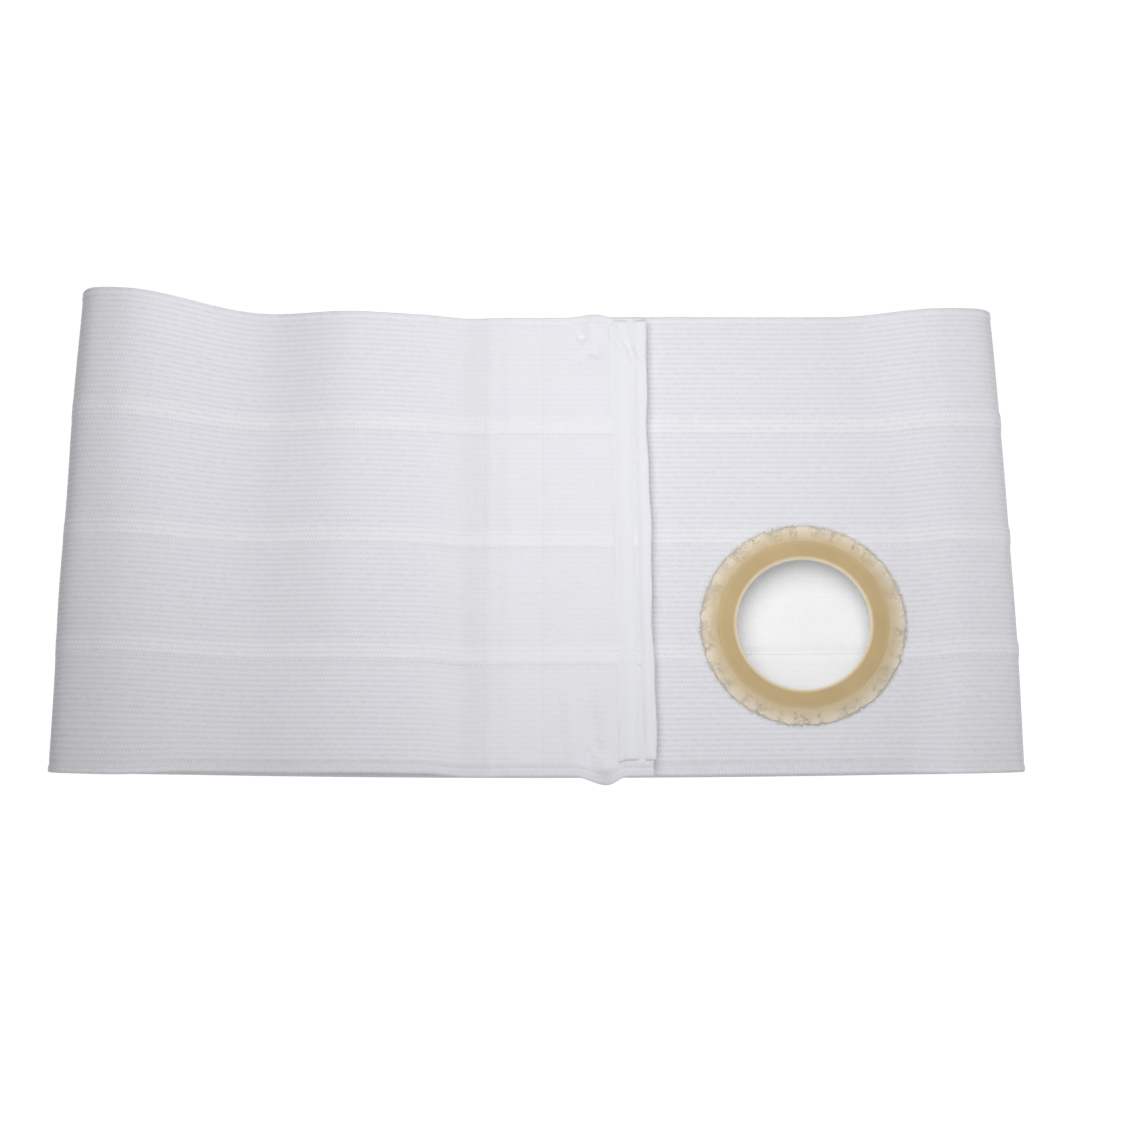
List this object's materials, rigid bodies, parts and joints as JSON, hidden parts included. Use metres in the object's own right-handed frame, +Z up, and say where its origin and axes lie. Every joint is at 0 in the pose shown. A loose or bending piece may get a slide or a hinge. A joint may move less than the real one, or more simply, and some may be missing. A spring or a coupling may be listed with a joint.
{
  "type": "ostomy support belt",
  "caption": "Wide ribbed elastic belt fastened into a loop and lying flat, with an overlapping flap end and a round pouch opening with a soft gasket.",
  "frame": {"origin": "on the surface that the belt lies on, under the middle of its box", "axes": "+X along the belt towards the pouch opening, +Y up the belt's height as worn, +Z up from the surface"},
  "size_m": [0.414, 0.2138, 0.0429],
  "materials": {
    "elastic": "ribbed knitted elastic, matt cool white",
    "tape": "close smooth woven tape, matt white",
    "gasket": "smooth tan foam rubber, satin",
    "felt": "brushed pile edge in pale beige"
  },
  "bodies": {
    "root": {"elastic_band_1": "elastic", "elastic_band_2": "elastic", "elastic_band_3": "elastic", "elastic_band_4": "elastic", "loop_tape": "tape", "hook_tape": "tape", "end_tape": "tape", "ring_gasket": "gasket", "ring_border": "felt"}
  },
  "joints": []
}
